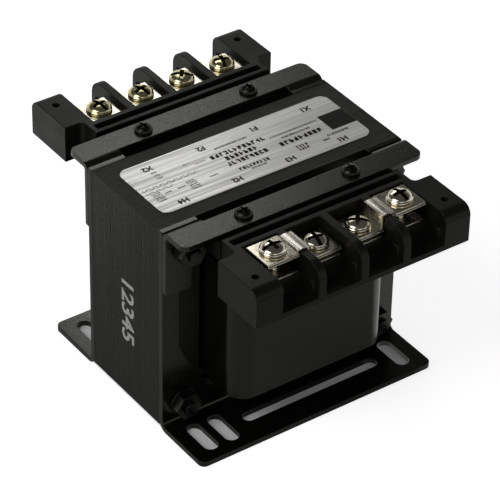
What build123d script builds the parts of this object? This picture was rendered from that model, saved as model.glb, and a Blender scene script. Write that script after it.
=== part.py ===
from build123d import *
import math
import os

# Control transformer, open core-and-coil type, with a terminal block on each long side.
# X runs along the terminal blocks, -Y is the primary side, Z is up.
# The origin is on the ground plane, at the centre of the lamination stack. Millimetres.

# Lamination stack
tongue_w = 28.575
side_leg_w = 14.29
window_w = 14.29
window_h = 42.86
yoke_h = 14.29
stack_t = 35.5
core_lift = 1.5
lam_hole_d = 4.8
lam_hole_inset = 7.14

# Coil
former_gap = 0.3
former_wall = 1.2
former_flange_t = 1.2
former_flange_reach = 9.6
window_end_gap = 0.2
winding_gap = 0.1
secondary_side = 5.2
secondary_front = 7.4
barrier_t = 0.5
primary_side = 5.1
primary_front = 7.9
wrap_t = 0.8
wrap_corner_r = 6.6
wrap_skirt_drop = 1.6
wrap_skirt_gap = 0.5

# Foot brackets
foot_t = 1.9
foot_reach = 20.85
foot_bend_r = 1.6
foot_corner_r = 2.2
foot_web_top = 13.2
leg_gap = 1.0
leg_w = 12.4
leg_waist_w = 6.0
leg_waist_over_hole = 20.86
leg_waist_under_hole = 9.8
leg_shoulder = 6.0
leg_round_r = 1.8
slot_w = 4.8
slot_len = 13.2
slot_y = 10.5
slot_inner_x = 28.2
long_slot_w = 4.2
long_slot_len = 50.0
long_slot_x = 4.1

# Terminal brackets
shelf_t = 1.7
shelf_reach = 8.95
shelf_rise = 0.76
shelf_bend_r = 0.8
shelf_corner_r = 2.6
shelf_leg_w = 9.2
shelf_leg_drop = 22.7
shelf_leg_r = 1.2
shelf_ear_drop = 14.8
shelf_ear_slant = 2.3
shelf_relief = 0.5

# Core bolts
bolt_d = 4.2
bolt_end = 1.4
washer_d = 9.0
washer_hole_d = 4.6
washer_t = 0.9
nut_af = 7.9
nut_t = 3.1
bolt_head_af = 7.9
bolt_head_t = 2.8
thread_gap = 0.05

# Terminal blocks
block_neck_step = 6.3
block_back = 2.2
rail_t = 1.6
groove_w = 2.4
groove_deep = 3.6
groove_end_wall = 1.6
wall_t = 1.9
cap_back = 7.4
block_depth = 26.4
block_h = 12.4
seat_drop = 5.7
wire_floor_t = 2.0
wire_depth = 7.3
bay_w = 12.3
barrier_w = 2.7
cap_w = 9.15
block_round_r = 3.4
barrier_round_r = 5.2
neck_fillet_r = 1.8
cap_hole_d = 2.2
cap_hole_deep = 6.0
cap_hole_x = 4.4
cap_hole_y = 7.0
ledge_half = 28.0
ledge_t = 6.0
ledge_gap = 0.9
pocket_deep = 3.2
pocket_rib = 1.6

# Block screws
block_screw_x = 19.1
block_screw_y = 4.5
block_screw_d = 2.8
block_screw_len = 6.6
block_screw_head_d = 5.6
block_screw_head_h = 2.1
shelf_hole_gap = 0.2
block_screw_pilot = 7.4

# Terminals
terminal_y = 6.4
strip_t = 0.8
strip_side_gap = 1.65
strip_back = 0.4
strip_front_gap = 0.6
tail_w = 5.0
tail_drop = 3.8
tail_gap = 0.2
collar_d = 6.2
collar_h = 2.0
collar_gap = 0.2
bore_floor = 1.0
clamp_side_gap = 0.75
clamp_len = 11.6
clamp_t = 1.0
clamp_lip = 0.5
clamp_rib = 0.5
seat_gap = 0.05
screw_d = 4.17
screw_len = 7.5
screw_head_d = 8.0
screw_head_h = 2.4
screw_rim_h = 0.9
screw_cross_w = 1.0
screw_cross_len = 4.6
screw_cross_deep = 1.3
screw_slot_w = 1.1
screw_slot_deep = 0.9
secondary_clamp_lift = 2.05

# Jumper links
link_t = 0.6
link_w = 8.8
link_high = 3.5
link_over = 0.1
link_side_gap = 0.1
link_end = 4.6
link_fork_gap = 0.3
link_bend_r = 0.2

# Label and lead-outs
label_x = 75.0
label_y = 25.2
label_t = 0.2
label_r = 3.0
lead_d = 1.6

# Worked-out sizes
core_w = tongue_w + 2 * window_w + 2 * side_leg_w
core_h = window_h + 2 * yoke_h
core_top = core_lift + core_h
core_half = core_w / 2
core_face = stack_t / 2
window_low = core_lift + yoke_h
window_high = window_low + window_h
hole_x = core_half - lam_hole_inset
hole_low = core_lift + lam_hole_inset
hole_high = core_top - lam_hole_inset
leg_waist_low = hole_low + leg_waist_over_hole
leg_waist_high = hole_high - leg_waist_under_hole

tube_x = tongue_w / 2 + former_gap + former_wall
tube_y = core_face + former_gap + former_wall
coil_x = tube_x + secondary_side + barrier_t + primary_side + wrap_t + 3 * winding_gap
coil_y = tube_y + secondary_front + barrier_t + primary_front + wrap_t + 3 * winding_gap
coil_low = window_low + window_end_gap
coil_high = window_high - window_end_gap

foot_face = core_face + foot_t
web_half = coil_x + leg_gap
leg_inner = core_half - leg_w
waist_inner = core_half - leg_waist_w
shelf_leg_inner = core_half - shelf_leg_w
foot_front = foot_face + foot_reach
slot_row = foot_face + slot_y
shelf_face = foot_face + shelf_t
shelf_top = core_top + shelf_rise
shelf_under = shelf_top - shelf_t
shelf_front = shelf_face + shelf_reach

block_top = shelf_top
block_low = block_top - block_h
block_rear = shelf_front + block_back
block_front = block_rear + block_depth
wall_front = block_rear + rail_t + groove_w + wall_t
cap_rear = block_rear + cap_back
seat_z = block_top - seat_drop
wire_floor = block_low + wire_floor_t
wire_back = block_front - wire_depth
pitch = bay_w + barrier_w
block_len = 4 * bay_w + 3 * barrier_w + 2 * cap_w
bay_x = [(place - 1.5) * pitch for place in range(4)]
bays = [(x - bay_w / 2, x + bay_w / 2) for x in bay_x]
strip_w = bay_w - 2 * strip_side_gap
clamp_w = bay_w - 2 * clamp_side_gap
terminal_row = wall_front + terminal_y
strip_top = seat_z + strip_t
screw_row = shelf_face + block_screw_y
turned = Rot(0, 0, 180)


def span(x0, x1, y0, y1, z0, z1):
    """Box between two corners."""
    middle = Pos((x0 + x1) / 2, (y0 + y1) / 2, (z0 + z1) / 2)
    return middle * Box(x1 - x0, y1 - y0, z1 - z0)


def pole(d, x, y, z0, z1):
    """Upright cylinder."""
    return Pos(x, y, (z0 + z1) / 2) * Cylinder(d / 2, z1 - z0)


def rod(d, x, z, y0, y1):
    """Cylinder along Y."""
    return Pos(x, (y0 + y1) / 2, z) * Rot(90, 0, 0) * Cylinder(d / 2, y1 - y0)


def hex_rod(af, x, z, y0, y1):
    """Hexagonal prism along Y, given by its width across flats."""
    face = Plane.XZ.offset(-y0) * Pos(x, z) * RegularPolygon(af / math.sqrt(3), 6)
    return extrude(face, -(y1 - y0))


def ring_solid(x, y, r, wall_x, wall_y, z0, z1):
    """Upright rectangular tube with rounded outer corners; x and y are outer half sizes."""
    inner_r = max(r - max(wall_x, wall_y), 0.4)
    outer = RectangleRounded(2 * x, 2 * y, r)
    inner = RectangleRounded(2 * (x - wall_x), 2 * (y - wall_y), inner_r)
    return extrude(Pos(0, 0, z0) * (outer - inner), z1 - z0)


def rounded(points, rounds):
    """Flat face from points, with some corners rounded by point number."""
    face = make_face(Polyline(*points, close=True))
    for index, radius in rounds:
        corner = face.vertices().sort_by_distance((points[index][0], points[index][1], 0))[0]
        face = fillet(corner, radius)
    return face


def side_profile(points, rounds):
    """Rounded face in the YZ plane from (y, z) points."""
    return Plane.YZ * rounded(points, rounds)


def e_laminations():
    """E-shaped half of the core, yoke at the bottom, pressed as one pack."""
    body = span(-core_half, core_half, -core_face, core_face, core_lift, window_high)
    for side in (-1, 1):
        near = side * tongue_w / 2
        far = side * (tongue_w / 2 + window_w)
        low, high = sorted((near, far))
        body -= span(low, high, -stack_t, stack_t, window_low, window_high + 1)
        body -= rod(lam_hole_d, side * hole_x, hole_low, -stack_t, stack_t)
    return body


def i_laminations():
    """Straight bars that close the core across the top."""
    body = span(-core_half, core_half, -core_face, core_face, window_high, core_top)
    for side in (-1, 1):
        body -= rod(lam_hole_d, side * hole_x, hole_high, -stack_t, stack_t)
    return body


def coil_former():
    """Moulded bobbin on the centre leg, with a flange at each end."""
    body = ring_solid(tube_x, tube_y, 1.0, former_wall, former_wall, coil_low, coil_high)
    reach_x = coil_x - tube_x - wrap_t - winding_gap
    for z in (coil_low, coil_high - former_flange_t):
        body += ring_solid(
            tube_x + reach_x, tube_y + former_flange_reach, 3.0,
            reach_x + former_wall, former_flange_reach + former_wall, z, z + former_flange_t,
        )
    return body


def layer(x_in, y_in, build_x, build_y, r):
    """One wound layer between the former's flanges."""
    low = coil_low + former_flange_t + winding_gap
    high = coil_high - former_flange_t - winding_gap
    return ring_solid(x_in + build_x, y_in + build_y, r, build_x, build_y, low, high)


def windings():
    """Secondary, the insulation over it, and the primary, from the inside out."""
    x, y = tube_x + winding_gap, tube_y + winding_gap
    secondary = layer(x, y, secondary_side, secondary_front, 3.0)
    x, y = x + secondary_side, y + secondary_front
    insulation = layer(x, y, barrier_t, barrier_t, 3.4)
    x, y = x + barrier_t + winding_gap, y + barrier_t + winding_gap
    primary = layer(x, y, primary_side, primary_front, wrap_corner_r - wrap_t)
    return secondary, insulation, primary


def coil_wrap():
    """Outer wrap of the coil; it bulges past the window's height outside the core."""
    body = ring_solid(coil_x, coil_y, wrap_corner_r, wrap_t, wrap_t, coil_low, coil_high)
    skirt = ring_solid(
        coil_x, coil_y, wrap_corner_r, wrap_t, wrap_t,
        coil_low - wrap_skirt_drop, coil_high + wrap_skirt_drop,
    )
    clear = foot_face + wrap_skirt_gap
    skirt -= span(-core_w, core_w, -clear, clear, 0, 2 * core_h)
    body += skirt
    return body


def foot_bracket():
    """Primary-side foot: slotted flange, web and two waisted legs, folded from one sheet."""
    points = [
        (-core_face, 0), (-foot_front, 0), (-foot_front, foot_t),
        (-foot_face, foot_t), (-foot_face, core_top), (-core_face, core_top),
    ]
    profile = side_profile(points, [(0, foot_bend_r + foot_t), (3, foot_bend_r)])
    body = extrude(profile, core_half, both=True)
    left = [
        (-leg_inner, 2 * core_top), (-leg_inner, leg_waist_high + leg_shoulder),
        (-waist_inner, leg_waist_high), (-waist_inner, leg_waist_low), (-web_half, foot_web_top),
    ]
    window = left + [(-x, z) for x, z in reversed(left)]
    corners = [(index, leg_round_r) for index in (1, 2, 3, 6, 7, 8)]
    corners += [(index, foot_corner_r) for index in (4, 5)]
    face = Plane.XZ.offset(core_face - 1) * rounded(window, corners)
    body -= extrude(face, foot_t + 2)
    body = fillet(body.edges().filter_by(Axis.Z).group_by(Axis.Y)[0], foot_corner_r)
    for x in (-hole_x, -slot_inner_x, hole_x):
        face = Pos(x, -slot_row, -1) * SlotOverall(slot_len, slot_w, rotation=90)
        body -= extrude(face, foot_t + 2)
    face = Pos(long_slot_x, -slot_row, -1) * SlotOverall(long_slot_len, long_slot_w)
    body -= extrude(face, foot_t + 2)
    for side in (-1, 1):
        for z in (hole_low, hole_high):
            body -= rod(lam_hole_d, side * hole_x, z, -foot_face - 1, -core_face + 1)
    return body


def terminal_bracket():
    """Primary-side shelf for the terminal block, with two short legs over the core's side legs."""
    bottom = shelf_top - shelf_leg_drop
    points = [
        (-foot_face, bottom), (-shelf_face, bottom), (-shelf_face, shelf_under),
        (-shelf_front, shelf_under), (-shelf_front, shelf_top), (-foot_face, shelf_top),
    ]
    profile = side_profile(points, [(2, shelf_bend_r), (5, shelf_bend_r + shelf_t)])
    body = extrude(profile, core_half, both=True)
    back = shelf_face + shelf_relief
    ear_low = shelf_top - shelf_ear_drop
    left = [
        (-leg_inner, 2 * core_top), (-leg_inner, ear_low + shelf_ear_slant),
        (-shelf_leg_inner, ear_low), (-shelf_leg_inner, 0),
    ]
    window = left + [(-x, z) for x, z in reversed(left)]
    face = Plane.XZ.offset(core_face) * rounded(window, [(index, leg_round_r) for index in (1, 2, 5, 6)])
    body -= extrude(face, back - core_face)
    body = fillet(body.edges().filter_by(Axis.Z).group_by(Axis.Y)[0], shelf_corner_r)
    body = fillet(body.edges().filter_by(Axis.Y).group_by(Axis.Z)[0], shelf_leg_r)
    for side in (-1, 1):
        body -= rod(lam_hole_d, side * hole_x, hole_high, -shelf_face - 1, -foot_face + 1)
        hole_d = block_screw_d + 2 * shelf_hole_gap
        body -= pole(hole_d, side * block_screw_x, -screw_row, shelf_under - 1, shelf_top + 1)
    return body


def core_fasteners():
    """Four bolts through the core with their washers and nuts; nuts on the primary side."""
    bolts, washers, nuts = [], [], []
    for x in (-hole_x, hole_x):
        for z, face in ((hole_low, foot_face), (hole_high, shelf_face)):
            for y0, y1 in ((-face - washer_t, -face), (face, face + washer_t)):
                washers.append(rod(washer_d, x, z, y0, y1) - rod(washer_hole_d, x, z, y0 - 1, y1 + 1))
            seat = face + washer_t
            shank = rod(bolt_d, x, z, -seat - nut_t - bolt_end, seat)
            bolts.append(shank + hex_rod(bolt_head_af, x, z, seat, seat + bolt_head_t))
            nut = hex_rod(nut_af, x, z, -seat - nut_t, -seat)
            nuts.append(nut - rod(bolt_d + 2 * thread_gap, x, z, -seat - nut_t - 1, -seat + 1))
    return bolts, washers, nuts


def terminal_block():
    """Primary-side moulded block: four open bays, end caps, rail and a ledge under the shelf."""
    end = block_len / 2
    neck = end - block_neck_step
    plan = [
        (-neck, -block_rear), (-neck, -cap_rear), (-end, -cap_rear), (-end, -block_front),
        (end, -block_front), (end, -cap_rear), (neck, -cap_rear), (neck, -block_rear),
    ]
    outline = rounded(plan, [(1, neck_fillet_r), (6, neck_fillet_r)])
    body = extrude(Pos(0, 0, block_low) * outline, block_h)
    points = [
        (-block_rear, block_low), (-block_front, block_low),
        (-block_front, block_top), (-block_rear, block_top),
    ]
    body = body & extrude(side_profile(points, [(2, block_round_r)]), block_len, both=True)
    over = block_top + 1
    round_y = -block_front + barrier_round_r
    round_z = block_top - barrier_round_r
    edge = span(bays[0][0], bays[3][1], -block_front - 1, round_y, round_z, over)
    body -= edge - Pos(0, round_y, round_z) * Rot(0, 90, 0) * Cylinder(barrier_round_r, block_len)
    for x0, x1 in bays:
        body -= span(x0, x1, -block_front - 1, -wall_front, seat_z, over)
        body -= span(x0, x1, -block_front - 1, -wire_back, wire_floor, over)
    groove_half = neck - groove_end_wall
    groove_back = block_rear + rail_t
    body -= span(
        -groove_half, groove_half, -groove_back - groove_w, -groove_back,
        block_top - groove_deep, over,
    )
    ledge_back = shelf_face + ledge_gap
    body += span(
        -ledge_half, ledge_half, -block_rear - rail_t, -ledge_back,
        shelf_under - ledge_t, shelf_under,
    )
    pilot_d = block_screw_d + 2 * thread_gap
    for side in (-1, 1):
        boss_low = shelf_under - block_screw_pilot
        boss_x = side * block_screw_x
        body += pole(block_screw_head_d, boss_x, -screw_row, boss_low - 1, shelf_under)
        body -= pole(pilot_d, boss_x, -screw_row, boss_low, shelf_under + 1)
        hole_x_here = side * (end - cap_hole_x)
        hole_y_here = -(block_front - cap_hole_y)
        body -= pole(cap_hole_d, hole_x_here, hole_y_here, block_top - cap_hole_deep, over)
    bore_d = collar_d + 2 * collar_gap
    tail_back = wall_front + strip_back
    for x in bay_x:
        body -= pole(bore_d, x, -terminal_row, block_low + bore_floor, seat_z + 1)
        half = tail_w / 2 + tail_gap
        body -= span(
            x - half, x + half, -tail_back - strip_t - tail_gap, -tail_back + tail_gap,
            block_low - 1, seat_z + 1,
        )
    for x0, x1 in ((plan[2][0], bays[0][0]), (bays[3][1], plan[5][0])):
        body -= span(
            x0 + pocket_rib, x1 - pocket_rib, -wire_back, -cap_rear - pocket_rib,
            block_low - 1, block_low + pocket_deep,
        )
    return body


def block_screw(x):
    """Pan-head screw that holds a terminal block under its shelf."""
    top = shelf_top + block_screw_head_h
    body = pole(block_screw_head_d, x, -screw_row, shelf_top, top)
    body = fillet(body.edges().group_by(Axis.Z)[-1], block_screw_head_h * 0.45)
    body += pole(block_screw_d, x, -screw_row, shelf_top - block_screw_len, shelf_top)
    arm = block_screw_head_d * 0.28
    for dx, dy in ((arm, 0.35), (0.35, arm)):
        body -= span(x - dx, x + dx, -screw_row - dy, -screw_row + dy, top - 1.2, top + 1)
    return body


def terminal_strip(x):
    """Tinned strip under a terminal, with a threaded collar and a tail for the lead-out."""
    back = wall_front + strip_back
    front = wire_back - strip_front_gap
    half = strip_w / 2
    body = span(x - half, x + half, -front, -back, seat_z, strip_top)
    low = block_low - tail_drop
    body += span(x - tail_w / 2, x + tail_w / 2, -back - strip_t, -back, low, strip_top)
    body += pole(collar_d, x, -terminal_row, seat_z - collar_h, seat_z)
    body -= pole(screw_d + 2 * thread_gap, x, -terminal_row, seat_z - collar_h - 1, strip_top + 1)
    return body


def clamp_plate(x, z):
    """Square pressure plate; z is its underside."""
    half = clamp_w / 2
    y0, y1 = -terminal_row - clamp_len / 2, -terminal_row + clamp_len / 2
    body = span(x - half, x + half, y0, y1, z, z + clamp_t)
    for edge in (y0, y1 - clamp_lip):
        body -= span(x - half - 1, x + half + 1, edge, edge + clamp_lip, z + clamp_t - clamp_rib, z + 9)
    body -= pole(screw_d + 2 * thread_gap, x, -terminal_row, z - 1, z + clamp_t + 1)
    return body


def terminal_screw(x, z):
    """Binding-head screw with a cross and a slot; z is the underside of its head."""
    head_r = screw_head_d / 2
    shank_r = screw_d / 2
    profile = make_face(
        [
            Polyline(
                (0, screw_head_h), (0, -screw_len), (shank_r - 0.5, -screw_len),
                (shank_r, -screw_len + 0.5), (shank_r, 0), (head_r, 0), (head_r, screw_rim_h),
            ),
            ThreePointArc(
                (head_r, screw_rim_h),
                (head_r * 0.72, screw_rim_h + (screw_head_h - screw_rim_h) * 0.62),
                (0, screw_head_h),
            ),
        ]
    )
    body = revolve(Plane.XZ * profile, Axis.Z)
    cross = screw_cross_len / 2
    half = screw_cross_w / 2
    top = screw_head_h
    for dx, dy in ((cross, half), (half, cross)):
        body -= span(-dx, dx, -dy, dy, top - screw_cross_deep, top + 1)
    slot = screw_slot_w / 2
    body -= span(-head_r, head_r, -slot, slot, top - screw_slot_deep, top + 1)
    return Pos(x, -terminal_row, z) * body


def jumper_link(side):
    """Stepped brass strap from an outer terminal, over the bay wall, to the inner one."""
    high = strip_top + link_high
    over = block_top + link_over
    inner_x, outer_x = bay_x[2], bay_x[3]
    out_wall = pitch + barrier_w / 2 + link_side_gap
    in_wall = pitch - barrier_w / 2 - link_side_gap
    outer_end = outer_x + link_end
    inner_end = inner_x - link_end
    t = link_t
    points = [
        (outer_end, high), (outer_end, high + t), (out_wall + t, high + t),
        (out_wall + t, over + t), (in_wall - t, over + t), (in_wall - t, strip_top + t),
        (inner_end, strip_top + t), (inner_end, strip_top), (in_wall, strip_top),
        (in_wall, over), (out_wall, over), (out_wall, high),
    ]
    face = rounded(points, [(index, link_bend_r) for index in (2, 3, 4, 5, 8, 9, 10, 11)])
    body = extrude(Plane.XZ.offset(terminal_row) * face, link_w / 2, both=True)
    fork = screw_d + 2 * link_fork_gap
    for x, far in ((outer_x, outer_end + 1), (inner_x, inner_end - 1)):
        body -= pole(fork, x, -terminal_row, seat_z, block_top + 2)
        low, high_x = sorted((x, far))
        body -= span(low, high_x, -terminal_row - fork / 2, -terminal_row + fork / 2, seat_z, block_top + 2)
    return body if side > 0 else mirror(body, Plane.YZ)


def lead_outs():
    """Straight lead-outs from the coil's face to the tails of the strips."""
    z = block_low - tail_drop / 2
    return [rod(lead_d, x, z, -wall_front - strip_back, -coil_y) for x in bay_x]


def rating_label():
    """Plain adhesive label on the core's top."""
    return extrude(Pos(0, 0, core_top) * RectangleRounded(label_x, label_y, label_r), label_t)


def save(name, *solids):
    """Write one node; more than one solid makes a group of separate solids."""
    shape = solids[0] if len(solids) == 1 else Compound(children=list(solids))
    export_step(shape, os.path.join("parts", name + ".step"))


def main():
    os.makedirs("parts", exist_ok=True)
    save("e_laminations", e_laminations())
    save("i_laminations", i_laminations())
    save("coil_former", coil_former())
    secondary, insulation, primary = windings()
    save("secondary_winding", secondary)
    save("winding_insulation", insulation)
    save("primary_winding", primary)
    save("coil_wrap", coil_wrap())

    foot = foot_bracket()
    save("front_foot_bracket", foot)
    save("rear_foot_bracket", turned * foot)
    shelf = terminal_bracket()
    save("front_terminal_bracket", shelf)
    save("rear_terminal_bracket", turned * shelf)
    bolts, washers, nuts = core_fasteners()
    save("core_bolts", *bolts)
    save("core_washers", *washers)
    save("core_nuts", *nuts)

    block = terminal_block()
    save("front_terminal_block", block)
    save("rear_terminal_block", turned * block)
    screws = [block_screw(side * block_screw_x) for side in (-1, 1)]
    save("block_screws", *screws, *[turned * screw for screw in screws])

    strips = [terminal_strip(x) for x in bay_x]
    save("front_terminal_strips", *strips)
    save("rear_terminal_strips", *[turned * strip for strip in strips])
    leads = lead_outs()
    save("front_lead_outs", *leads)
    save("rear_lead_outs", *[turned * lead for lead in leads])

    on_link = strip_top + link_high + link_t + seat_gap
    on_strip = strip_top + link_t + seat_gap
    front = (("h4", on_link), ("h2", on_strip), ("h3", on_strip), ("h1", on_link))
    for (mark, z), x in zip(front, bay_x):
        save(mark + "_clamp", clamp_plate(x, z))
        save(mark + "_screw", terminal_screw(x, z + clamp_t))
    z = strip_top + secondary_clamp_lift
    for mark, x in zip(("x1", "f1", "f2", "x2"), bay_x):
        save(mark + "_clamp", turned * clamp_plate(x, z))
        save(mark + "_screw", turned * terminal_screw(x, z + clamp_t))
    save("h4_h2_link", jumper_link(-1))
    save("h1_h3_link", jumper_link(1))
    save("rating_label", rating_label())


main()
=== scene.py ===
"""Dresses the packed control transformer: rounded edges, sheet edges, screws, print and studio."""
import math
import random

import bmesh
import bpy
from mathutils import Matrix, Vector


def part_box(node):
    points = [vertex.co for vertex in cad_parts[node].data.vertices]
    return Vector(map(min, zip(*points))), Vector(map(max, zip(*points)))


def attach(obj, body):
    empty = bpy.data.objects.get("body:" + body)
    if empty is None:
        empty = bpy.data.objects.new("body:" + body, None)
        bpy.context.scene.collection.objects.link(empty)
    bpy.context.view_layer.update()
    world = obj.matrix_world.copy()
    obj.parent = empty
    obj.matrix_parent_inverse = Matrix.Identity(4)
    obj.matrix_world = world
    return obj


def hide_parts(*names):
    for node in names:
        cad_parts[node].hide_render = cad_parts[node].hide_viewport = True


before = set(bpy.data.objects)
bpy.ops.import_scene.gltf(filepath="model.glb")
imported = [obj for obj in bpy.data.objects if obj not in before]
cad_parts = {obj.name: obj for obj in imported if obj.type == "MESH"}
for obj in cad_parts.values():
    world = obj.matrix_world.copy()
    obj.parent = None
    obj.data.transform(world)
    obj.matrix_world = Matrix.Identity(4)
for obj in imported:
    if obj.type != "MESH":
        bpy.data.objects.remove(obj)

bl_info = {
    "name": "Control Transformer Finish",
    "version": (1, 0, 0),
    "blender": (4, 5, 0),
    "location": "3D View > Sidebar > Transformer",
    "description": "Finishes, fastener detail and label print for a control transformer",
    "category": "Object",
}

MM = 0.001
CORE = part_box("e_laminations")
CORE_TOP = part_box("i_laminations")[1].z
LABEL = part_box("rating_label")
FRONT_MARKS = ("h4", "h2", "h3", "h1")
REAR_MARKS = ("x2", "f2", "f1", "x1")

# Points nearer to each other than this are joined.
WELD = 0.001 * MM


def length(name, value, description, low=0.0):
    """A length in metres that the sidebar shows in the scene's unit."""
    return bpy.props.FloatProperty(
        name=name, description=description, default=value, min=low, unit="LENGTH", precision=5
    )


def angle(name, degrees, description):
    """An angle, given here in degrees."""
    return bpy.props.FloatProperty(
        name=name, description=description, default=math.radians(degrees), subtype="ANGLE"
    )


def number(name, value, description):
    """A plain number, with its unit in the description."""
    return bpy.props.FloatProperty(name=name, description=description, default=value)


def colour(name, value, description):
    """A linear colour."""
    return bpy.props.FloatVectorProperty(
        name=name, description=description, default=value, size=3, min=0.0, max=1.0,
        subtype="COLOR",
    )


class StageSettings(bpy.types.PropertyGroup):
    """Camera, lamps and floor."""

    azimuth: angle("Azimuth", -36.01, "Turn of the camera about the upright axis")
    elevation: angle("Elevation", 36.37, "Height of the camera above the floor, as an angle")
    roll: angle("Roll", 1.22, "Turn of the camera about its own axis")
    distance: length("Distance", 0.88114, "From the camera to the plane through the origin")
    aside: length("Aside", 0.00244, "How far the origin lies left of the middle of the view", -1.0)
    above: length("Above", 0.03017, "How far the origin lies below the middle of the view", -1.0)
    lens: number("Lens", 204.64, "Focal length in millimetres on a 36 mm sensor")
    floor_colour: colour("Floor", (0.86, 0.86, 0.86), "Colour of the studio floor")
    key_power: number("Key lamp", 3.3, "Power of the large lamp on the left, in watts")
    back_power: number("Back lamp", 0.064, "Power of the lamp behind the object, in watts")
    low_power: number("Low lamp", 0.09, "Power of the lamp that the rear foot mirrors, in watts")
    fill_power: number("Fill lamp", 0.35, "Power of the weak lamp in front, in watts")


class CoreSettings(bpy.types.PropertyGroup):
    """Laminations, coil and their paint."""

    sheet: length("Sheet", 0.5 * MM, "Thickness of one lamination")
    groove: length("Groove", 0.05 * MM, "Depth of the line between two laminations")
    unevenness: length("Unevenness", 0.05 * MM, "How far one sheet may stand back from the next")
    paint: colour("Paint", (0.0080, 0.0086, 0.0066), "Varnish on the laminations")
    wrap: colour("Wrap", (0.0030, 0.0033, 0.0022), "Outer wrap of the coil")


class BracketSettings(bpy.types.PropertyGroup):
    """Folded steel brackets and the core's fasteners."""

    edge: length("Edge", 0.16 * MM, "Rounding of the sheet's edges")
    paint: colour("Paint", (0.0062, 0.0068, 0.0050), "Black paint on the folded brackets")
    oxide: colour("Oxide", (0.0018, 0.0019, 0.0021), "Black oxide on screws, nuts and washers")


class BlockSettings(bpy.types.PropertyGroup):
    """Moulded terminal blocks."""

    edge: length("Edge", 0.22 * MM, "Rounding of the moulded edges")
    floor: length("Wire floor", 2.0 * MM, "Thickness of the floor where a wire goes in")
    bay_half: length("Half bay", 6.15 * MM, "Half the width of one bay")
    rib_radius: length("Rib radius", 1.5 * MM, "Radius of the guide ribs on the bay walls")
    rib_height: length("Rib height", 4.6 * MM, "Height of the guide ribs above the floor")
    rib_inset: length("Rib inset", 3.6 * MM, "From the block's outer face to a guide rib")
    ledge_end: length("Ledge end", 28.0 * MM, "Half length of the ledge in the solid")
    ledge_reach: length("Ledge reach", 31.6 * MM, "Half length of the ledge with its end ribs")
    moulding: colour("Moulding", (0.0070, 0.0072, 0.0062), "Phenolic of the terminal blocks")


class TerminalSettings(bpy.types.PropertyGroup):
    """Clamp plates, screws, strips and links."""

    edge: length("Edge", 0.18 * MM, "Rounding of the pressed plates")
    zinc: colour("Zinc", (0.80, 0.73, 0.60), "Plating of the primary screws")
    yellow_zinc: colour("Yellow zinc", (0.80, 0.71, 0.42), "Plating of the secondary screws")
    nickel: colour("Nickel", (0.70, 0.66, 0.53), "Plating of the clamp plates")
    link: colour("Link", (0.84, 0.80, 0.70), "Plating of the links")
    crest: length("Crest", 3.4 * MM, "Width of a link's crest over the wall")
    arch: length("Arch", 0.2 * MM, "How far the crest falls from its middle to its sides")
    thread_pitch: length("Thread pitch", 0.79375 * MM, "Pitch of the terminal screws")


class LabelSettings(bpy.types.PropertyGroup):
    """Film and print of the rating label."""

    film: colour("Film", (0.70, 0.70, 0.665), "White film")
    ink: colour("Ink", (0.008, 0.008, 0.008), "Print on the film")
    mark_height: length("Mark height", 2.5 * MM, "Height of the terminal marks")
    mark_first: length("First mark", -29.0 * MM, "Place of the first terminal mark", -1.0)
    mark_pitch: length("Mark pitch", 19.0 * MM, "Distance between terminal marks")
    code_height: length("Code height", 7.2 * MM, "Height of the digits on the core")
    code_length: length("Code length", 22.0 * MM, "Length of the row of digits on the core")


SETTINGS = {
    "transformer_stage": StageSettings,
    "transformer_core": CoreSettings,
    "transformer_brackets": BracketSettings,
    "transformer_blocks": BlockSettings,
    "transformer_terminals": TerminalSettings,
    "transformer_label": LabelSettings,
}


# Finishes

# Dark paint, varnish and plastic mirror the studio in this slightly warm tone.
DARK_BELOW = 0.05
DARK_SHEEN = (1.0, 1.0, 0.84, 1)

COPPER = (0.15, 0.055, 0.022)
PAPER = ((0.5, 0.38, 0.22), (0.64, 0.52, 0.35))
NYLON = ((0.02, 0.02, 0.02), (0.045, 0.045, 0.043))
STRIP_TIN = (0.60, 0.58, 0.50)
LEAD_TIN = (0.70, 0.69, 0.65)
WHITE_INK = (0.62, 0.62, 0.60)


def fill(node, values):
    """Sets a node's inputs by name."""
    for name, value in values.items():
        node.inputs[name].default_value = value
    return node


class Wiring:
    """Short ways to add and join the nodes of one tree."""

    def __init__(self, tree):
        self.tree = tree

    def add(self, kind, values=()):
        """A new node, with values for its inputs by name."""
        return fill(self.tree.nodes.new(kind), dict(values))

    def wire(self, source, target):
        """Joins an output to an input."""
        self.tree.links.new(source, target)

    def apart(self, vector):
        """The outputs X, Y and Z of a vector."""
        node = self.add("ShaderNodeSeparateXYZ")
        self.wire(vector, node.inputs["Vector"])
        return node.outputs

    def graded(self, value, low, high, to_low=0.0, to_high=1.0):
        """Maps a span of a value to another."""
        node = self.add("ShaderNodeMapRange", {
            "From Min": low, "From Max": high, "To Min": to_low, "To Max": to_high,
        })
        self.wire(value, node.inputs["Value"])
        return node.outputs["Result"]

    def combined(self, operation, first, second):
        """Math on two values, either of which may be a number."""
        node = self.add("ShaderNodeMath")
        node.operation = operation
        for socket, value in zip(node.inputs, (first, second)):
            if isinstance(value, (int, float)):
                socket.default_value = value
            else:
                self.wire(value, socket)
        return node.outputs["Value"]


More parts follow.
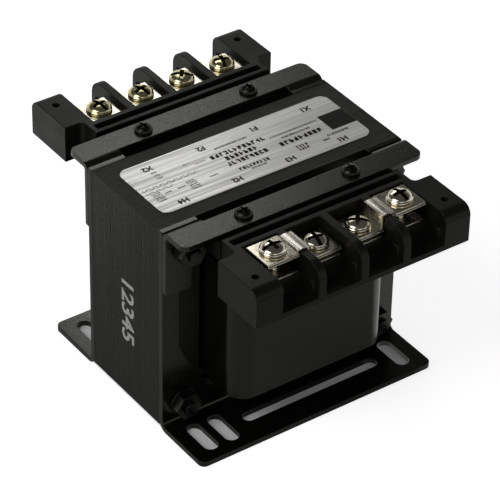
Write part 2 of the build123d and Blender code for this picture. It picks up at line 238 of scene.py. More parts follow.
class Finish(Wiring):
    """A Principled material and the procedural nodes on it."""

    def __init__(self, name, base, roughness, metallic=0.0, specular=0.5, coat=0.0):
        self.material = bpy.data.materials.new(name)
        self.material.use_nodes = True
        super().__init__(self.material.node_tree)
        self.shader = fill(self.tree.nodes["Principled BSDF"], {
            "Base Color": (*base, 1), "Roughness": roughness, "Metallic": metallic,
            "Specular IOR Level": specular, "Coat Weight": coat,
        })
        if metallic == 0.0 and max(base) < DARK_BELOW:
            fill(self.shader, {"Specular Tint": DARK_SHEEN})
        self.place = self.add("ShaderNodeTexCoord").outputs["Object"]

    def noise(self, scale, stretch=(1, 1, 1), detail=3.0, rough=0.55):
        """Noise over the object's own coordinates, in cells a metre."""
        mapping = self.add("ShaderNodeMapping", {"Scale": stretch})
        self.wire(self.place, mapping.inputs["Vector"])
        node = self.add(
            "ShaderNodeTexNoise", {"Scale": scale, "Detail": detail, "Roughness": rough}
        )
        self.wire(mapping.outputs["Vector"], node.inputs["Vector"])
        return node.outputs["Fac"]

    def tint(self, factor, first, second):
        """Base colour between two colours, by a factor."""
        node = self.add("ShaderNodeMix")
        node.data_type = "RGBA"
        fill(node, {"A": (*first, 1), "B": (*second, 1)})
        self.wire(factor, node.inputs["Factor"])
        self.wire(node.outputs["Result"], self.shader.inputs["Base Color"])

    def shade(self, factor, base, start, end):
        """Base colour between two multiples of one colour, by a factor."""
        self.tint(factor, scaled(base, start), scaled(base, end))

    def rough_between(self, factor, low, high):
        """Roughness between two values, by a factor."""
        self.wire(self.graded(factor, 0.3, 0.7, low, high), self.shader.inputs["Roughness"])

    def raised(self, height, depth, strength=1.0):
        """Bump of a given depth, in metres."""
        node = self.add("ShaderNodeBump", {"Distance": depth, "Strength": strength})
        self.wire(height, node.inputs["Height"])
        self.wire(node.outputs["Normal"], self.shader.inputs["Normal"])


def scaled(base, factor):
    """A colour made lighter or darker."""
    return tuple(min(1.0, channel * factor) for channel in base)


def painted_laminations(base):
    """Varnish over sheet edges: fine streaks along the sheets and a dusty grain."""
    finish = Finish("Core varnish", base, roughness=0.5, specular=0.28)
    sheets = finish.noise(scale=2200, stretch=(0.02, 1, 0.02), detail=2)
    dust = finish.noise(scale=1500, detail=4, rough=0.7)
    both = finish.combined(
        "MULTIPLY", finish.graded(sheets, 0.3, 0.7), finish.graded(dust, 0.25, 0.75)
    )
    finish.shade(both, base, start=0.45, end=2.3)
    finish.rough_between(dust, low=0.32, high=0.55)
    finish.raised(dust, depth=0.14 * MM, strength=0.8)
    return finish.material


def black_paint(name, base, roughness, grain, shine):
    """Satin black paint with a fine orange peel, its depth the grain, and a faint dust."""
    finish = Finish(name, base, roughness, specular=shine)
    peel = finish.noise(scale=1900, detail=3, rough=0.65)
    dust = finish.noise(scale=5200, detail=2, rough=0.8)
    finish.shade(finish.graded(dust, 0.42, 0.72), base, start=0.75, end=1.9)
    finish.rough_between(peel, low=roughness - 0.06, high=roughness + 0.1)
    finish.raised(peel, depth=grain, strength=0.8)
    return finish.material


def black_oxide(base):
    """Oiled black oxide on steel."""
    finish = Finish("Black oxide", base, roughness=0.24, specular=0.35)
    cloud = finish.noise(scale=900, detail=3)
    finish.shade(finish.graded(cloud, 0.3, 0.7), base, start=0.7, end=1.7)
    finish.rough_between(cloud, low=0.2, high=0.36)
    finish.raised(finish.noise(scale=2400), depth=0.004 * MM, strength=0.3)
    return finish.material


def phenolic(base):
    """Compression-moulded phenolic with its fine grain and flow marks."""
    finish = Finish("Moulded phenolic", base, roughness=0.4, specular=0.18)
    flow = finish.noise(scale=130, stretch=(0.5, 1, 1.6), detail=4)
    grain = finish.noise(scale=3800, detail=3, rough=0.7)
    both = finish.combined(
        "MULTIPLY", finish.graded(flow, 0.2, 0.8, 0.5, 1.0), finish.graded(grain, 0.3, 0.7)
    )
    finish.shade(both, base, start=0.7, end=1.7)
    finish.rough_between(flow, low=0.34, high=0.48)
    finish.raised(grain, depth=0.012 * MM, strength=0.5)
    return finish.material


def wrapped_film(base):
    """Smooth film round the coil, with shallow upright waves of the wire below."""
    finish = Finish("Coil wrap", base, roughness=0.22, specular=0.4)
    waves = finish.noise(scale=240, stretch=(1, 1, 0.12), detail=2)
    grain = finish.noise(scale=3000, detail=2)
    finish.shade(finish.graded(grain, 0.3, 0.7), base, start=0.85, end=1.35)
    finish.rough_between(waves, low=0.18, high=0.26)
    finish.raised(waves, depth=0.04 * MM, strength=0.3)
    return finish.material


def plating(name, base, roughness, haze=0.5):
    """Bright plating with faint stains and drawn lines, and a painted shade that darkens the faces
    in a recess.
    """
    finish = Finish(name, base, roughness, metallic=1.0)
    stain = finish.noise(scale=420, detail=4, rough=0.6)
    lines = finish.noise(scale=2600, stretch=(1, 0.08, 1), detail=2)
    # Faces marked as recess take the darkest tone: painted shade in the screw's cross and slot.
    recess = finish.add("ShaderNodeAttribute")
    recess.attribute_name = "recess"
    # Random stains darken the plating a little; the recess mark adds painted shade on top of them.
    stained = finish.graded(stain, 0.35, 0.7, 0, 0.5 * haze)
    stain_and_recess_shade = finish.combined("MAXIMUM", stained, recess.outputs["Fac"])
    finish.shade(stain_and_recess_shade, base, start=1.0, end=0.25)
    finish.rough_between(stain, low=roughness * 0.7, high=roughness * 1.6)
    finish.raised(lines, depth=0.003 * MM, strength=0.3)
    return finish.material


def enamelled_wire(base):
    """Layers of enamelled copper wire, as fine level rounds."""
    finish = Finish("Enamelled wire", base, roughness=0.3, metallic=0.9, coat=0.3)
    rounds = finish.add("ShaderNodeTexWave", {"Scale": 480, "Distortion": 0.4})
    rounds.bands_direction = "Z"
    finish.wire(finish.place, rounds.inputs["Vector"])
    finish.shade(rounds.outputs["Fac"], base, start=0.45, end=1.0)
    finish.raised(rounds.outputs["Fac"], depth=0.15 * MM)
    return finish.material


def fibrous(name, low, high, roughness):
    """Paper or filled nylon: short fibres in two tones."""
    finish = Finish(name, low, roughness, specular=0.35)
    fibres = finish.noise(scale=1500, stretch=(1, 1, 0.3), detail=4, rough=0.7)
    finish.tint(finish.graded(fibres, 0.3, 0.7), low, high)
    finish.rough_between(fibres, low=roughness - 0.08, high=roughness + 0.08)
    finish.raised(fibres, depth=0.03 * MM, strength=0.5)
    return finish.material


def label_film(base):
    """Satin silver-white film, drawn along its length in streaks; toward the left end their
    contrast in the base colour grows, partly real streaks and partly a painted glare.
    """
    finish = Finish("Label film", base, roughness=0.3, metallic=0.15, specular=0.6)
    streaks = finish.noise(scale=700, stretch=(0.02, 1, 1), detail=3, rough=0.6)
    # Painted glare: the streaks are drawn lighter and darker in the base colour toward the left
    # end, where the back lamp's glare falls.
    glare_side = finish.graded(finish.apart(finish.place)["X"], 2 * MM, -14 * MM, 0.12, 1.0)
    lines = finish.combined("SUBTRACT", finish.graded(streaks, 0.44, 0.58), 0.5)
    streaks_and_glare = finish.combined("ADD", finish.combined("MULTIPLY", lines, glare_side), 0.5)
    finish.shade(streaks_and_glare, base, start=0.62, end=1.42)
    finish.rough_between(streaks, low=0.16, high=0.34)
    finish.raised(streaks, depth=0.05 * MM, strength=0.6)
    return finish.material


def printed_ink(name, base, roughness, wear):
    """Printed ink, thinner in spots where it is worn."""
    finish = Finish(name, base, roughness, specular=0.12)
    spots = finish.noise(scale=2600, detail=3, rough=0.7)
    finish.shade(finish.graded(spots, 0.35, 0.75), base, start=1.0, end=1.0 - wear)
    finish.rough_between(spots, low=roughness, high=roughness + 0.15)
    return finish.material


# Shapes


def put(name, data):
    """A new object for the data, in the scene."""
    thing = bpy.data.objects.new(name, data)
    bpy.context.scene.collection.objects.link(thing)
    return thing


def facing(right, up, outward):
    """The matrix that turns X, Y and Z to three directions."""
    return Matrix((right, up, outward)).transposed().to_4x4()


def merge(whole, part):
    """Adds one bmesh to another and frees it."""
    mesh = bpy.data.meshes.new("part")
    part.to_mesh(mesh)
    part.free()
    whole.from_mesh(mesh)
    bpy.data.meshes.remove(mesh)


def node_shape(node):
    """A copy of a CAD node with its loose triangles joined and its flat faces made whole."""
    shape = bmesh.new()
    shape.from_mesh(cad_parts[node].data)
    bmesh.ops.remove_doubles(shape, verts=shape.verts, dist=WELD)
    bmesh.ops.dissolve_limit(
        shape, angle_limit=math.radians(0.4), verts=shape.verts, edges=shape.edges
    )
    return shape


def soften(shape, width, segments=2, sharper_than=32.0):
    """Rounds each edge that is sharper than an angle in degrees."""
    sharp = [
        edge for edge in shape.edges
        if len(edge.link_faces) == 2 and edge.calc_face_angle(0.0) > math.radians(sharper_than)
    ]
    bmesh.ops.bevel(
        shape, geom=sharp, offset=width, offset_type="OFFSET", segments=segments, profile=0.5,
        material=-1, affect="EDGES", clamp_overlap=False,
    )
    return shape


def add_piece(name, shape, material, body, nodes=(), smooth_angle=40.0):
    """Turns a bmesh into a finished piece that rides on a body and stands for its CAD nodes."""
    mesh = bpy.data.meshes.new(name)
    shape.to_mesh(mesh)
    shape.free()
    mesh.materials.append(material)
    mesh.shade_smooth()
    mesh.set_sharp_from_angle(angle=math.radians(smooth_angle))
    piece = put(name, mesh)
    normals = piece.modifiers.new("Flat faces rule the shading", "WEIGHTED_NORMAL")
    normals.keep_sharp = True
    normals.weight = 60
    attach(piece, body)
    if nodes:
        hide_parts(*nodes)
    return piece


def paint_node(node, material):
    """Gives a CAD node that keeps its shape its finish."""
    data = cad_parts[node].data
    data.materials.clear()
    data.materials.append(material)


def edged_copy(node, material, width, body="root"):
    """A CAD node's own shape with its edges rounded."""
    shape = soften(node_shape(node), width)
    return add_piece(f"{node}_shape", shape, material, body, [node])


def turned(profile, steps):
    """A closed shape of revolution about Z from (radius, height) points, axis to axis."""
    shape = bmesh.new()
    points = [shape.verts.new((radius, 0, height)) for radius, height in profile]
    edges = [shape.edges.new(pair) for pair in zip(points, points[1:])]
    bmesh.ops.spin(
        shape, geom=points + edges, cent=(0, 0, 0), axis=(0, 0, 1), angle=math.tau,
        steps=steps, use_merge=True,
    )
    bmesh.ops.remove_doubles(shape, verts=shape.verts, dist=WELD)
    bmesh.ops.recalc_face_normals(shape, faces=shape.faces)
    return shape


def cut_across(shape, axis, places, above):
    """Cuts the faces above a height by upright planes at the given places."""
    for place in places:
        at = Vector((0, 0, 0))
        at[axis] = place
        across = Vector((0, 0, 0))
        across[axis] = 1
        faces = [face for face in shape.faces if face.calc_center_median().z > above]
        edges = list(dict.fromkeys(edge for face in faces for edge in face.edges))
        points = list(dict.fromkeys(point for face in faces for point in face.verts))
        bmesh.ops.bisect_plane(
            shape, geom=points + edges + faces, dist=1e-7, plane_co=at, plane_no=across
        )


def extruded(shape, faces):
    """Extrudes faces as one region and gives the new points."""
    made = bmesh.ops.extrude_face_region(shape, geom=faces)
    return [item for item in made["geom"] if isinstance(item, bmesh.types.BMVert)]


def sink(shape, inside, depth, above):
    """Sinks the top faces that a test picks to a flat floor."""
    chosen = [
        face for face in shape.faces
        if face.calc_center_median().z > above and face.normal.z > 0.1
        and inside(face.calc_center_median())
    ]
    if not chosen:
        raise RuntimeError("no face of the screw head lies in its recess")
    floor = extruded(shape, chosen)
    bmesh.ops.delete(shape, geom=chosen, context="FACES_ONLY")
    for point in floor:
        point.co.z = -depth


# Recesses in the top of a screw's head: length, width and depth.
TERMINAL_CROSS = (4.8 * MM, 1.3 * MM, 1.6 * MM)
TERMINAL_SLOT = (7.0 * MM, 1.15 * MM, 1.1 * MM)
BLOCK_SCREW_CROSS = (3.2 * MM, 0.8 * MM, 1.1 * MM)


def driver_recess(shape, cross, slot=(0, 0, 0)):
    """Cross recess and straight slot in the top of a screw head that ends at height 0."""
    arm, arm_width, deep = cross
    slot_reach, slot_width, slot_deep = slot
    above = -deep * 0.9
    sides = (-arm_width / 2, arm_width / 2, -arm / 2, arm / 2)
    cut_across(shape, 0, sides, above)
    cut_across(shape, 1, sides, above)
    if slot_reach:
        cut_across(shape, 0, (-slot_reach / 2, slot_reach / 2), above)
        cut_across(shape, 1, (-slot_width / 2, slot_width / 2), above)

    def in_cross(place):
        along_x = abs(place.x) < arm / 2 and abs(place.y) < arm_width / 2
        return along_x or (abs(place.y) < arm / 2 and abs(place.x) < arm_width / 2)

    def in_slot(place):
        return abs(place.x) < slot_reach / 2 and abs(place.y) < slot_width / 2

    if slot_reach:
        sink(shape, lambda place: in_slot(place) and not in_cross(place), slot_deep, above)
    sink(shape, in_cross, deep, above)

    # The walls stand on the recess's outline, so each is tested a little nearer to the axis.
    # Faces in the cross and slot are marked here so that the plating paints them dark, a painted
    # shade.
    recess = shape.faces.layers.float.new("recess")
    for face in shape.faces:
        place = face.calc_center_median()
        inward = Vector((place.x * 0.999, place.y * 0.999, place.z))
        if place.z > -1.2 * deep and (in_cross(inward) or in_slot(inward)):
            face[recess] = 1.0


def domed(outline, radius, tall):
    """Points of a screw head's outline from shares of its radius and of its height."""
    return [(radius * across, -down * tall) for across, down in outline]


# Operators

# Lamps: name, place, size and the setting that holds the power.
LAMPS = (
    ("Key", (-0.72, -0.05, 0.78), (0.6, 0.6), "key_power"),
    ("Back", (0.0955, 0.2225, 0.292), (0.12, 0.08), "back_power"),
    ("Low", (0.302, 0.512, 0.428), (0.1, 0.07), "low_power"),
    ("Fill", (-0.25, -0.95, 0.42), (0.5, 0.5), "fill_power"),
)
SENSOR_WIDTH = 36
NEAREST, FARTHEST = 0.05, 10

# Light that the floor adds where it is seen straight on: under the object and in the open.
UNDER_LIFT, OPEN_LIFT = 0.04, 0.75
# Light that it adds in reflections only, on the side of the line slope * x + y = 0: a painted glow
# that gives the coil wrap's right corner a painted light strip.
MIRRORED_LIFT = 0.55
GLOW_SIDE_SLOPE = 1.15
GLOW_SIDE_FADE = 12 * MM

# The world's strength in reflections: white at the horizon, dim from this height up.
HORIZON, OVERHEAD = 0.08, 0.5
HORIZON_STRENGTH, OVERHEAD_STRENGTH = 1.0, 0.06
SOFT_GREY, SOFT_STRENGTH = (0.5, 0.5, 0.5, 1), 0.36


class TRANSFORMER_OT_stage(bpy.types.Operator):
    """Pale floor, soft studio lamps, white surroundings and the camera"""

    bl_idname = "transformer.stage"
    bl_label = "Studio"

    def execute(self, context):
        settings = context.scene.transformer_stage
        context.scene.view_settings.view_transform = "Standard"
        self.make_camera(context, settings)
        self.make_floor(settings)
        self.make_surroundings(context)
        for name, place, size, power in LAMPS:
            self.make_lamp(name, place, size, getattr(settings, power))
        return {"FINISHED"}

    def make_camera(self, context, settings):
        """Camera from its angles, with the origin off the middle of the view."""
        level = math.cos(settings.elevation)
        back = Vector((
            math.sin(settings.azimuth) * level,
            -math.cos(settings.azimuth) * level,
            math.sin(settings.elevation),
        ))
        right = Vector((0, 0, 1)).cross(back).normalized()
        up = back.cross(right)
        turn = settings.roll
        across = right * math.cos(turn) + up * math.sin(turn)
        upright = up * math.cos(turn) - right * math.sin(turn)
        place = across * settings.aside + upright * settings.above + back * settings.distance
        data = bpy.data.cameras.new("Camera")
        data.lens = settings.lens
        data.sensor_width = SENSOR_WIDTH
        data.clip_start = NEAREST
        data.clip_end = FARTHEST
        camera = put("Camera", data)
        camera.matrix_world = Matrix.Translation(place) @ facing(across, upright, back)
        context.scene.camera = camera

    def make_floor(self, settings):
        """A wide floor that looks white to the camera and keeps the shadow."""
        shape = bmesh.new()
        bmesh.ops.create_grid(shape, x_segments=1, y_segments=1, size=3.0)
        mesh = bpy.data.meshes.new("Studio floor")
        shape.to_mesh(mesh)
        shape.free()
        finish = Finish("Studio floor", settings.floor_colour, roughness=0.9, specular=0.1)
        finish.rough_between(finish.noise(scale=30), low=0.85, high=0.95)
        rays = finish.add("ShaderNodeLightPath").outputs
        seen = finish.combined("MAXIMUM", rays["Is Camera Ray"], rays["Is Transmission Ray"])
        place = finish.apart(finish.place)
        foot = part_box("front_foot_bracket")
        outside = []
        for axis, reach in (("X", foot[1].x), ("Y", -foot[0].y)):
            away = finish.combined("ABSOLUTE", place[axis], 0)
            outside.append(finish.graded(away, reach - 1.5 * MM, reach - 0.5 * MM))
        clear = finish.combined("MAXIMUM", *outside)
        straight = finish.combined(
            "MULTIPLY", seen, finish.graded(clear, 0, 1, UNDER_LIFT, OPEN_LIFT)
        )
        # Painted reflection: the floor glows to reflected rays on its right side only, which the
        # coil wrap's right corner mirrors.
        rightward = finish.combined("MULTIPLY", place["X"], GLOW_SIDE_SLOPE)
        beyond = finish.combined("ADD", rightward, place["Y"])
        glowing_side = finish.graded(beyond, 0, GLOW_SIDE_FADE, 0, MIRRORED_LIFT)
        mirrored = finish.combined("MULTIPLY", rays["Is Glossy Ray"], glowing_side)
        glow = finish.add("ShaderNodeEmission")
        finish.wire(finish.combined("ADD", straight, mirrored), glow.inputs["Strength"])
        both = finish.add("ShaderNodeAddShader")
        finish.wire(finish.shader.outputs["BSDF"], both.inputs[0])
        finish.wire(glow.outputs["Emission"], both.inputs[1])
        output = finish.tree.nodes["Material Output"]
        finish.wire(both.outputs["Shader"], output.inputs["Surface"])
        mesh.materials.append(finish.material)
        floor = put("Studio floor", mesh)

    def make_surroundings(self, context):
        """White to the camera and in reflections near the floor, soft grey light elsewhere."""
        world = bpy.data.worlds.new("Studio")
        context.scene.world = world
        world.use_nodes = True
        world.node_tree.nodes.clear()
        nodes = Wiring(world.node_tree)
        rays = nodes.add("ShaderNodeLightPath").outputs
        height = nodes.apart(nodes.add("ShaderNodeTexCoord").outputs["Generated"])["Z"]
        overhead = nodes.graded(height, HORIZON, OVERHEAD, HORIZON_STRENGTH, OVERHEAD_STRENGTH)
        white = nodes.add("ShaderNodeBackground", {"Color": (1, 1, 1, 1)})
        level = nodes.combined("MAXIMUM", rays["Is Camera Ray"], overhead)
        nodes.wire(level, white.inputs["Strength"])
        soft = nodes.add("ShaderNodeBackground", {"Color": SOFT_GREY, "Strength": SOFT_STRENGTH})
        seen = nodes.combined("MAXIMUM", rays["Is Camera Ray"], rays["Is Glossy Ray"])
        mix = nodes.add("ShaderNodeMixShader")
        shown = nodes.combined("MAXIMUM", seen, rays["Is Transmission Ray"])
        nodes.wire(shown, mix.inputs["Fac"])
        nodes.wire(soft.outputs["Background"], mix.inputs[1])
        nodes.wire(white.outputs["Background"], mix.inputs[2])
        output = nodes.add("ShaderNodeOutputWorld")
        nodes.wire(mix.outputs["Shader"], output.inputs["Surface"])

    def make_lamp(self, name, place, size, power):
        """A soft lamp that looks at the object's middle."""
        data = bpy.data.lights.new(name, "AREA")
        data.shape = "RECTANGLE"
        data.size, data.size_y = size
        data.energy = power
        aim = Vector((0, 0, CORE_TOP / 2)) - Vector(place)
        put(name, data).matrix_world = (
            Matrix.Translation(place) @ aim.to_track_quat("-Z", "Y").to_matrix().to_4x4()
        )


class TRANSFORMER_OT_core(bpy.types.Operator):
    """Stacked laminations with the lines between their sheets"""

    bl_idname = "transformer.core"
    bl_label = "Laminated core"

    def execute(self, context):
        settings = context.scene.transformer_core
        material = painted_laminations(settings.paint)
        for node in ("e_laminations", "i_laminations"):
            shape = self.sheeted(node, settings)
            add_piece(f"{node}_sheets", shape, material, "root", [node])
        return {"FINISHED"}

    def sheeted(self, node, settings):
        """The node's shape cut into sheets, with a groove at each joint."""
        shape = node_shape(node)
        front, rear = CORE[0].y, CORE[1].y
        count = round((rear - front) / settings.sheet)
        pitch = (rear - front) / count
        half_groove = 0.09 * pitch
        inside_box = 0.01 * MM
        for joint in [front + pitch * index for index in range(1, count)]:
            for place in (joint - half_groove, joint, joint + half_groove):
                bmesh.ops.bisect_plane(
                    shape, geom=shape.verts[:] + shape.edges[:] + shape.faces[:],
                    dist=1e-8, plane_co=(0, place, 0), plane_no=(0, 1, 0),
                )
        shape.normal_update()
        draw = random.Random(7)
        steps = [draw.random() * settings.unevenness for _ in range(count)]
        moves = []
        for point in shape.verts:
            way = Vector((point.normal.x, 0, point.normal.z))
            if way.length < 0.01:
                continue
            way.normalize()
            square = max(abs(way.x), abs(way.z))
            nearest = round((point.co.y - front) / pitch)
            gap = abs(point.co.y - (front + pitch * nearest))
            sheet = min(count - 1, int((point.co.y - front) / pitch + 1e-6))
            if gap < half_groove * 0.5 and 0 < nearest < count:
                deep = settings.groove + settings.unevenness
            else:
                deep = steps[max(0, sheet)]
            moves.append((point, way * (deep + inside_box) / square))
        for point, move in moves:
            point.co -= move
        return shape


class TRANSFORMER_OT_coil(bpy.types.Operator):
    """Coil wrap, windings, insulation and the moulded former"""

    bl_idname = "transformer.coil"
    bl_label = "Coil"

    def execute(self, context):
        settings = context.scene.transformer_core
        edged_copy("coil_wrap", wrapped_film(settings.wrap), 0.12 * MM)
        copper = enamelled_wire(COPPER)
        for node in ("primary_winding", "secondary_winding"):
            paint_node(node, copper)
        paint_node("winding_insulation", fibrous("Insulating paper", *PAPER, roughness=0.75))
        paint_node("coil_former", fibrous("Filled nylon", *NYLON, roughness=0.55))
        return {"FINISHED"}


class TRANSFORMER_OT_brackets(bpy.types.Operator):
    """Foot brackets and the brackets that carry the terminal blocks"""

    bl_idname = "transformer.brackets"
    bl_label = "Brackets"

    def execute(self, context):
        settings = context.scene.transformer_brackets
        foot = black_paint(
            "Foot bracket paint", scaled(settings.paint, 0.5), roughness=0.17,
            grain=0.01 * MM, shine=0.4,
        )
        shelf = black_paint(
            "Shelf bracket paint", scaled(settings.paint, 0.6), roughness=0.2,
            grain=0.09 * MM, shine=0.5,
        )
        for side in ("front", "rear"):
            edged_copy(f"{side}_foot_bracket", foot, settings.edge)
            edged_copy(f"{side}_terminal_bracket", shelf, settings.edge)
        return {"FINISHED"}


class TRANSFORMER_OT_core_fasteners(bpy.types.Operator):
    """Bolts, nuts and washers through the core"""

    bl_idname = "transformer.core_fasteners"
    bl_label = "Core fasteners"

    def execute(self, context):
        settings = context.scene.transformer_brackets
        oxide = black_oxide(settings.oxide)
        for node in ("core_bolts", "core_washers", "core_nuts"):
            edged_copy(node, oxide, 0.14 * MM)
        return {"FINISHED"}


# A guide rib is a round post, flattened against its wall, with a rounded top.
RIB_FLATNESS = 0.5
RIB_FACETS = 20
RIB_ROUNDING = 0.4 * MM


class TRANSFORMER_OT_blocks(bpy.types.Operator):
    """Moulded terminal blocks"""

    bl_idname = "transformer.blocks"
    bl_label = "Terminal blocks"

    def execute(self, context):
        settings = context.scene.transformer_blocks
        moulding = phenolic(settings.moulding)
        on_end = 0.02 * MM
        for side in ("front", "rear"):
            node = f"{side}_terminal_block"
            shape = node_shape(node)
            for point in shape.verts:
                if abs(abs(point.co.x) - settings.ledge_end) < on_end:
                    point.co.x = math.copysign(settings.ledge_reach, point.co.x)
            soften(shape, settings.edge)
            self.add_guide_ribs(shape, side, settings)
            add_piece(f"{node}_shape", shape, moulding, "root", [node])
        return {"FINISHED"}

    def add_guide_ribs(self, shape, side, settings):
        """Low half-round ribs on the walls of the bays, where a wire goes in."""
        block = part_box(f"{side}_terminal_block")
        if side == "front":
            marks, rib_y = FRONT_MARKS, block[0].y + settings.rib_inset
        else:
            marks, rib_y = REAR_MARKS, block[1].y - settings.rib_inset
        tall = settings.rib_height
        middle_z = block[0].z + settings.floor + tall / 2
        flat = Matrix.Diagonal((RIB_FLATNESS, 1, 1, 1))
        for mark in marks:
            low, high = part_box(f"{mark}_screw")
            for way in (-1, 1):
                wall = (low.x + high.x) / 2 + way * settings.bay_half
                made = bmesh.ops.create_cone(
                    shape, cap_ends=True, segments=RIB_FACETS, radius1=settings.rib_radius,
                    radius2=settings.rib_radius, depth=tall,
                    matrix=Matrix.Translation((wall, rib_y, middle_z)) @ flat,
                )
                upper = {point for point in made["verts"] if point.co.z > middle_z}
                rim = [edge for edge in shape.edges if upper.issuperset(edge.verts)]
                bmesh.ops.bevel(
                    shape, geom=rim, offset=RIB_ROUNDING, offset_type="OFFSET", segments=3,
                    profile=0.5, material=-1, affect="EDGES", clamp_overlap=True,
                )


# The terminal screws' heads in shares of radius and height, and the thread's two radii.
TERMINAL_HEAD = (
    (0, 0), (0.24, 0.015), (0.48, 0.07), (0.7, 0.19), (0.84, 0.34), (0.91, 0.5), (0.935, 0.6),
    (0.985, 0.64), (1, 0.7), (1, 0.88), (0.98, 0.96),
)
THREAD_CREST = 2.08 * MM
THREAD_ROOT = 1.72 * MM


class TRANSFORMER_OT_terminals(bpy.types.Operator):
    """Strips, clamp plates and terminal screws"""

    bl_idname = "transformer.terminals"
    bl_label = "Terminals"

    def execute(self, context):
        settings = context.scene.transformer_terminals
        nickel = plating("Nickel plating", settings.nickel, 0.16)
        tin = plating("Tin plating", STRIP_TIN, 0.24)
        zinc = plating("Zinc plating", settings.zinc, 0.14)
        yellow = plating("Yellow zinc plating", settings.yellow_zinc, 0.14)
        for side in ("front", "rear"):
            edged_copy(f"{side}_terminal_strips", tin, settings.edge)
            paint_node(f"{side}_lead_outs", plating(f"{side} lead tin", LEAD_TIN, 0.34))
        for mark in FRONT_MARKS + REAR_MARKS:
            edged_copy(f"{mark}_clamp", nickel, settings.edge, f"{mark}_clamp")
            self.add_screw(mark, zinc if mark in FRONT_MARKS else yellow, settings)
        return {"FINISHED"}

    def add_screw(self, mark, material, settings):
        """A screw with thread ridges, a domed head, a cross recess and a slot."""
        low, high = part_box(f"{mark}_screw")
        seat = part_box(f"{mark}_clamp")[1].z
        radius = (high.x - low.x) / 2
        under = seat - high.z + 0.02 * MM
        profile = domed(TERMINAL_HEAD, radius, high.z - seat)
        profile += [(radius * 0.94, under), (THREAD_CREST, under)]
        reach = high.z - low.z
        height = under - 0.1 * MM
        while height - settings.thread_pitch > -reach + 0.3 * MM:
            profile.append((THREAD_ROOT, height))
            profile.append((THREAD_CREST, height - settings.thread_pitch * 0.45))
            profile.append((THREAD_CREST, height - settings.thread_pitch * 0.55))
            height -= settings.thread_pitch
        profile += [(THREAD_ROOT, height), (THREAD_ROOT * 0.8, -reach), (0, -reach)]
        shape = turned(profile, 48)
        driver_recess(shape, TERMINAL_CROSS, TERMINAL_SLOT)
        turn = Matrix.Rotation(random.Random(mark).uniform(0, math.pi), 4, "Z")
        middle = Vector(((low.x + high.x) / 2, (low.y + high.y) / 2, high.z))
        bmesh.ops.transform(shape, matrix=Matrix.Translation(middle) @ turn, verts=shape.verts)
        add_piece(
            f"{mark}_screw_shape", shape, material, f"{mark}_screw",
            [f"{mark}_screw"], smooth_angle=50,
        )


class TRANSFORMER_OT_links(bpy.types.Operator):
    """Stepped links over the walls between the primary terminals"""

    bl_idname = "transformer.links"
    bl_label = "Links"

    def execute(self, context):
        settings = context.scene.transformer_terminals
        bright = plating("Link plating", settings.link, 0.2, haze=0.2)
        for node in ("h4_h2_link", "h1_h3_link"):
            shape = node_shape(node)
            low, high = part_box(node)
            wall = (low.x + high.x) / 2
            half = settings.crest / 2
            crown = high.z - 0.35 * MM
            cut_across(shape, 0, [wall + half * step / 5 for step in range(-4, 5)], crown)
            soften(shape, 0.12 * MM, sharper_than=25)
            for point in shape.verts:
                aside = (point.co.x - wall) / half
                if point.co.z > crown and abs(aside) < 1.1:
                    point.co.z -= settings.arch * aside ** 2
            add_piece(
                f"{node}_shape", shape, bright, "root", [node], smooth_angle=60
            )
        return {"FINISHED"}


# The block screws' heads in shares of radius and height, and their two radii.
PAN_HEAD = ((0, 0), (0.4, 0.05), (0.72, 0.2), (0.92, 0.46), (1, 0.72), (0.98, 1))
PAN_HEAD_RADIUS = 2.8 * MM
BLOCK_SCREW_SHANK = 1.35 * MM


class TRANSFORMER_OT_block_screws(bpy.types.Operator):
    """Black pan head screws that hold the blocks to their brackets"""

    bl_idname = "transformer.block_screws"
    bl_label = "Block screws"

    def execute(self, context):
        settings = context.scene.transformer_brackets
        oxide = black_oxide(scaled(settings.oxide, 0.8))
        low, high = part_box("block_screws")
        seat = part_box("front_terminal_bracket")[1].z
        shape = bmesh.new()
        for x in (low.x + PAN_HEAD_RADIUS, high.x - PAN_HEAD_RADIUS):
            for y in (low.y + PAN_HEAD_RADIUS, high.y - PAN_HEAD_RADIUS):
                self.add_screw(shape, Vector((x, y, high.z)), high.z - seat, high.z - low.z)
        add_piece(
            "block_screws_shape", shape, oxide, "root", ["block_screws"],
            smooth_angle=50,
        )
        return {"FINISHED"}

    def add_screw(self, whole, top, tall, reach):
        """One screw: domed head, cross recess and a plain shank."""
        shank = BLOCK_SCREW_SHANK
        profile = domed(PAN_HEAD, PAN_HEAD_RADIUS, tall)
        profile += [(shank, -tall), (shank, -reach + 0.5 * MM), (shank * 0.5, -reach), (0, -reach)]
        part = turned(profile, 36)
        driver_recess(part, BLOCK_SCREW_CROSS)
        # Each head stands at its own angle, taken from its place.
        turn = Matrix.Rotation(top.x * 900, 4, "Z")
        bmesh.ops.transform(part, matrix=Matrix.Translation(top) @ turn, verts=part.verts)
        merge(whole, part)


PRINT_THICK = 0.012 * MM


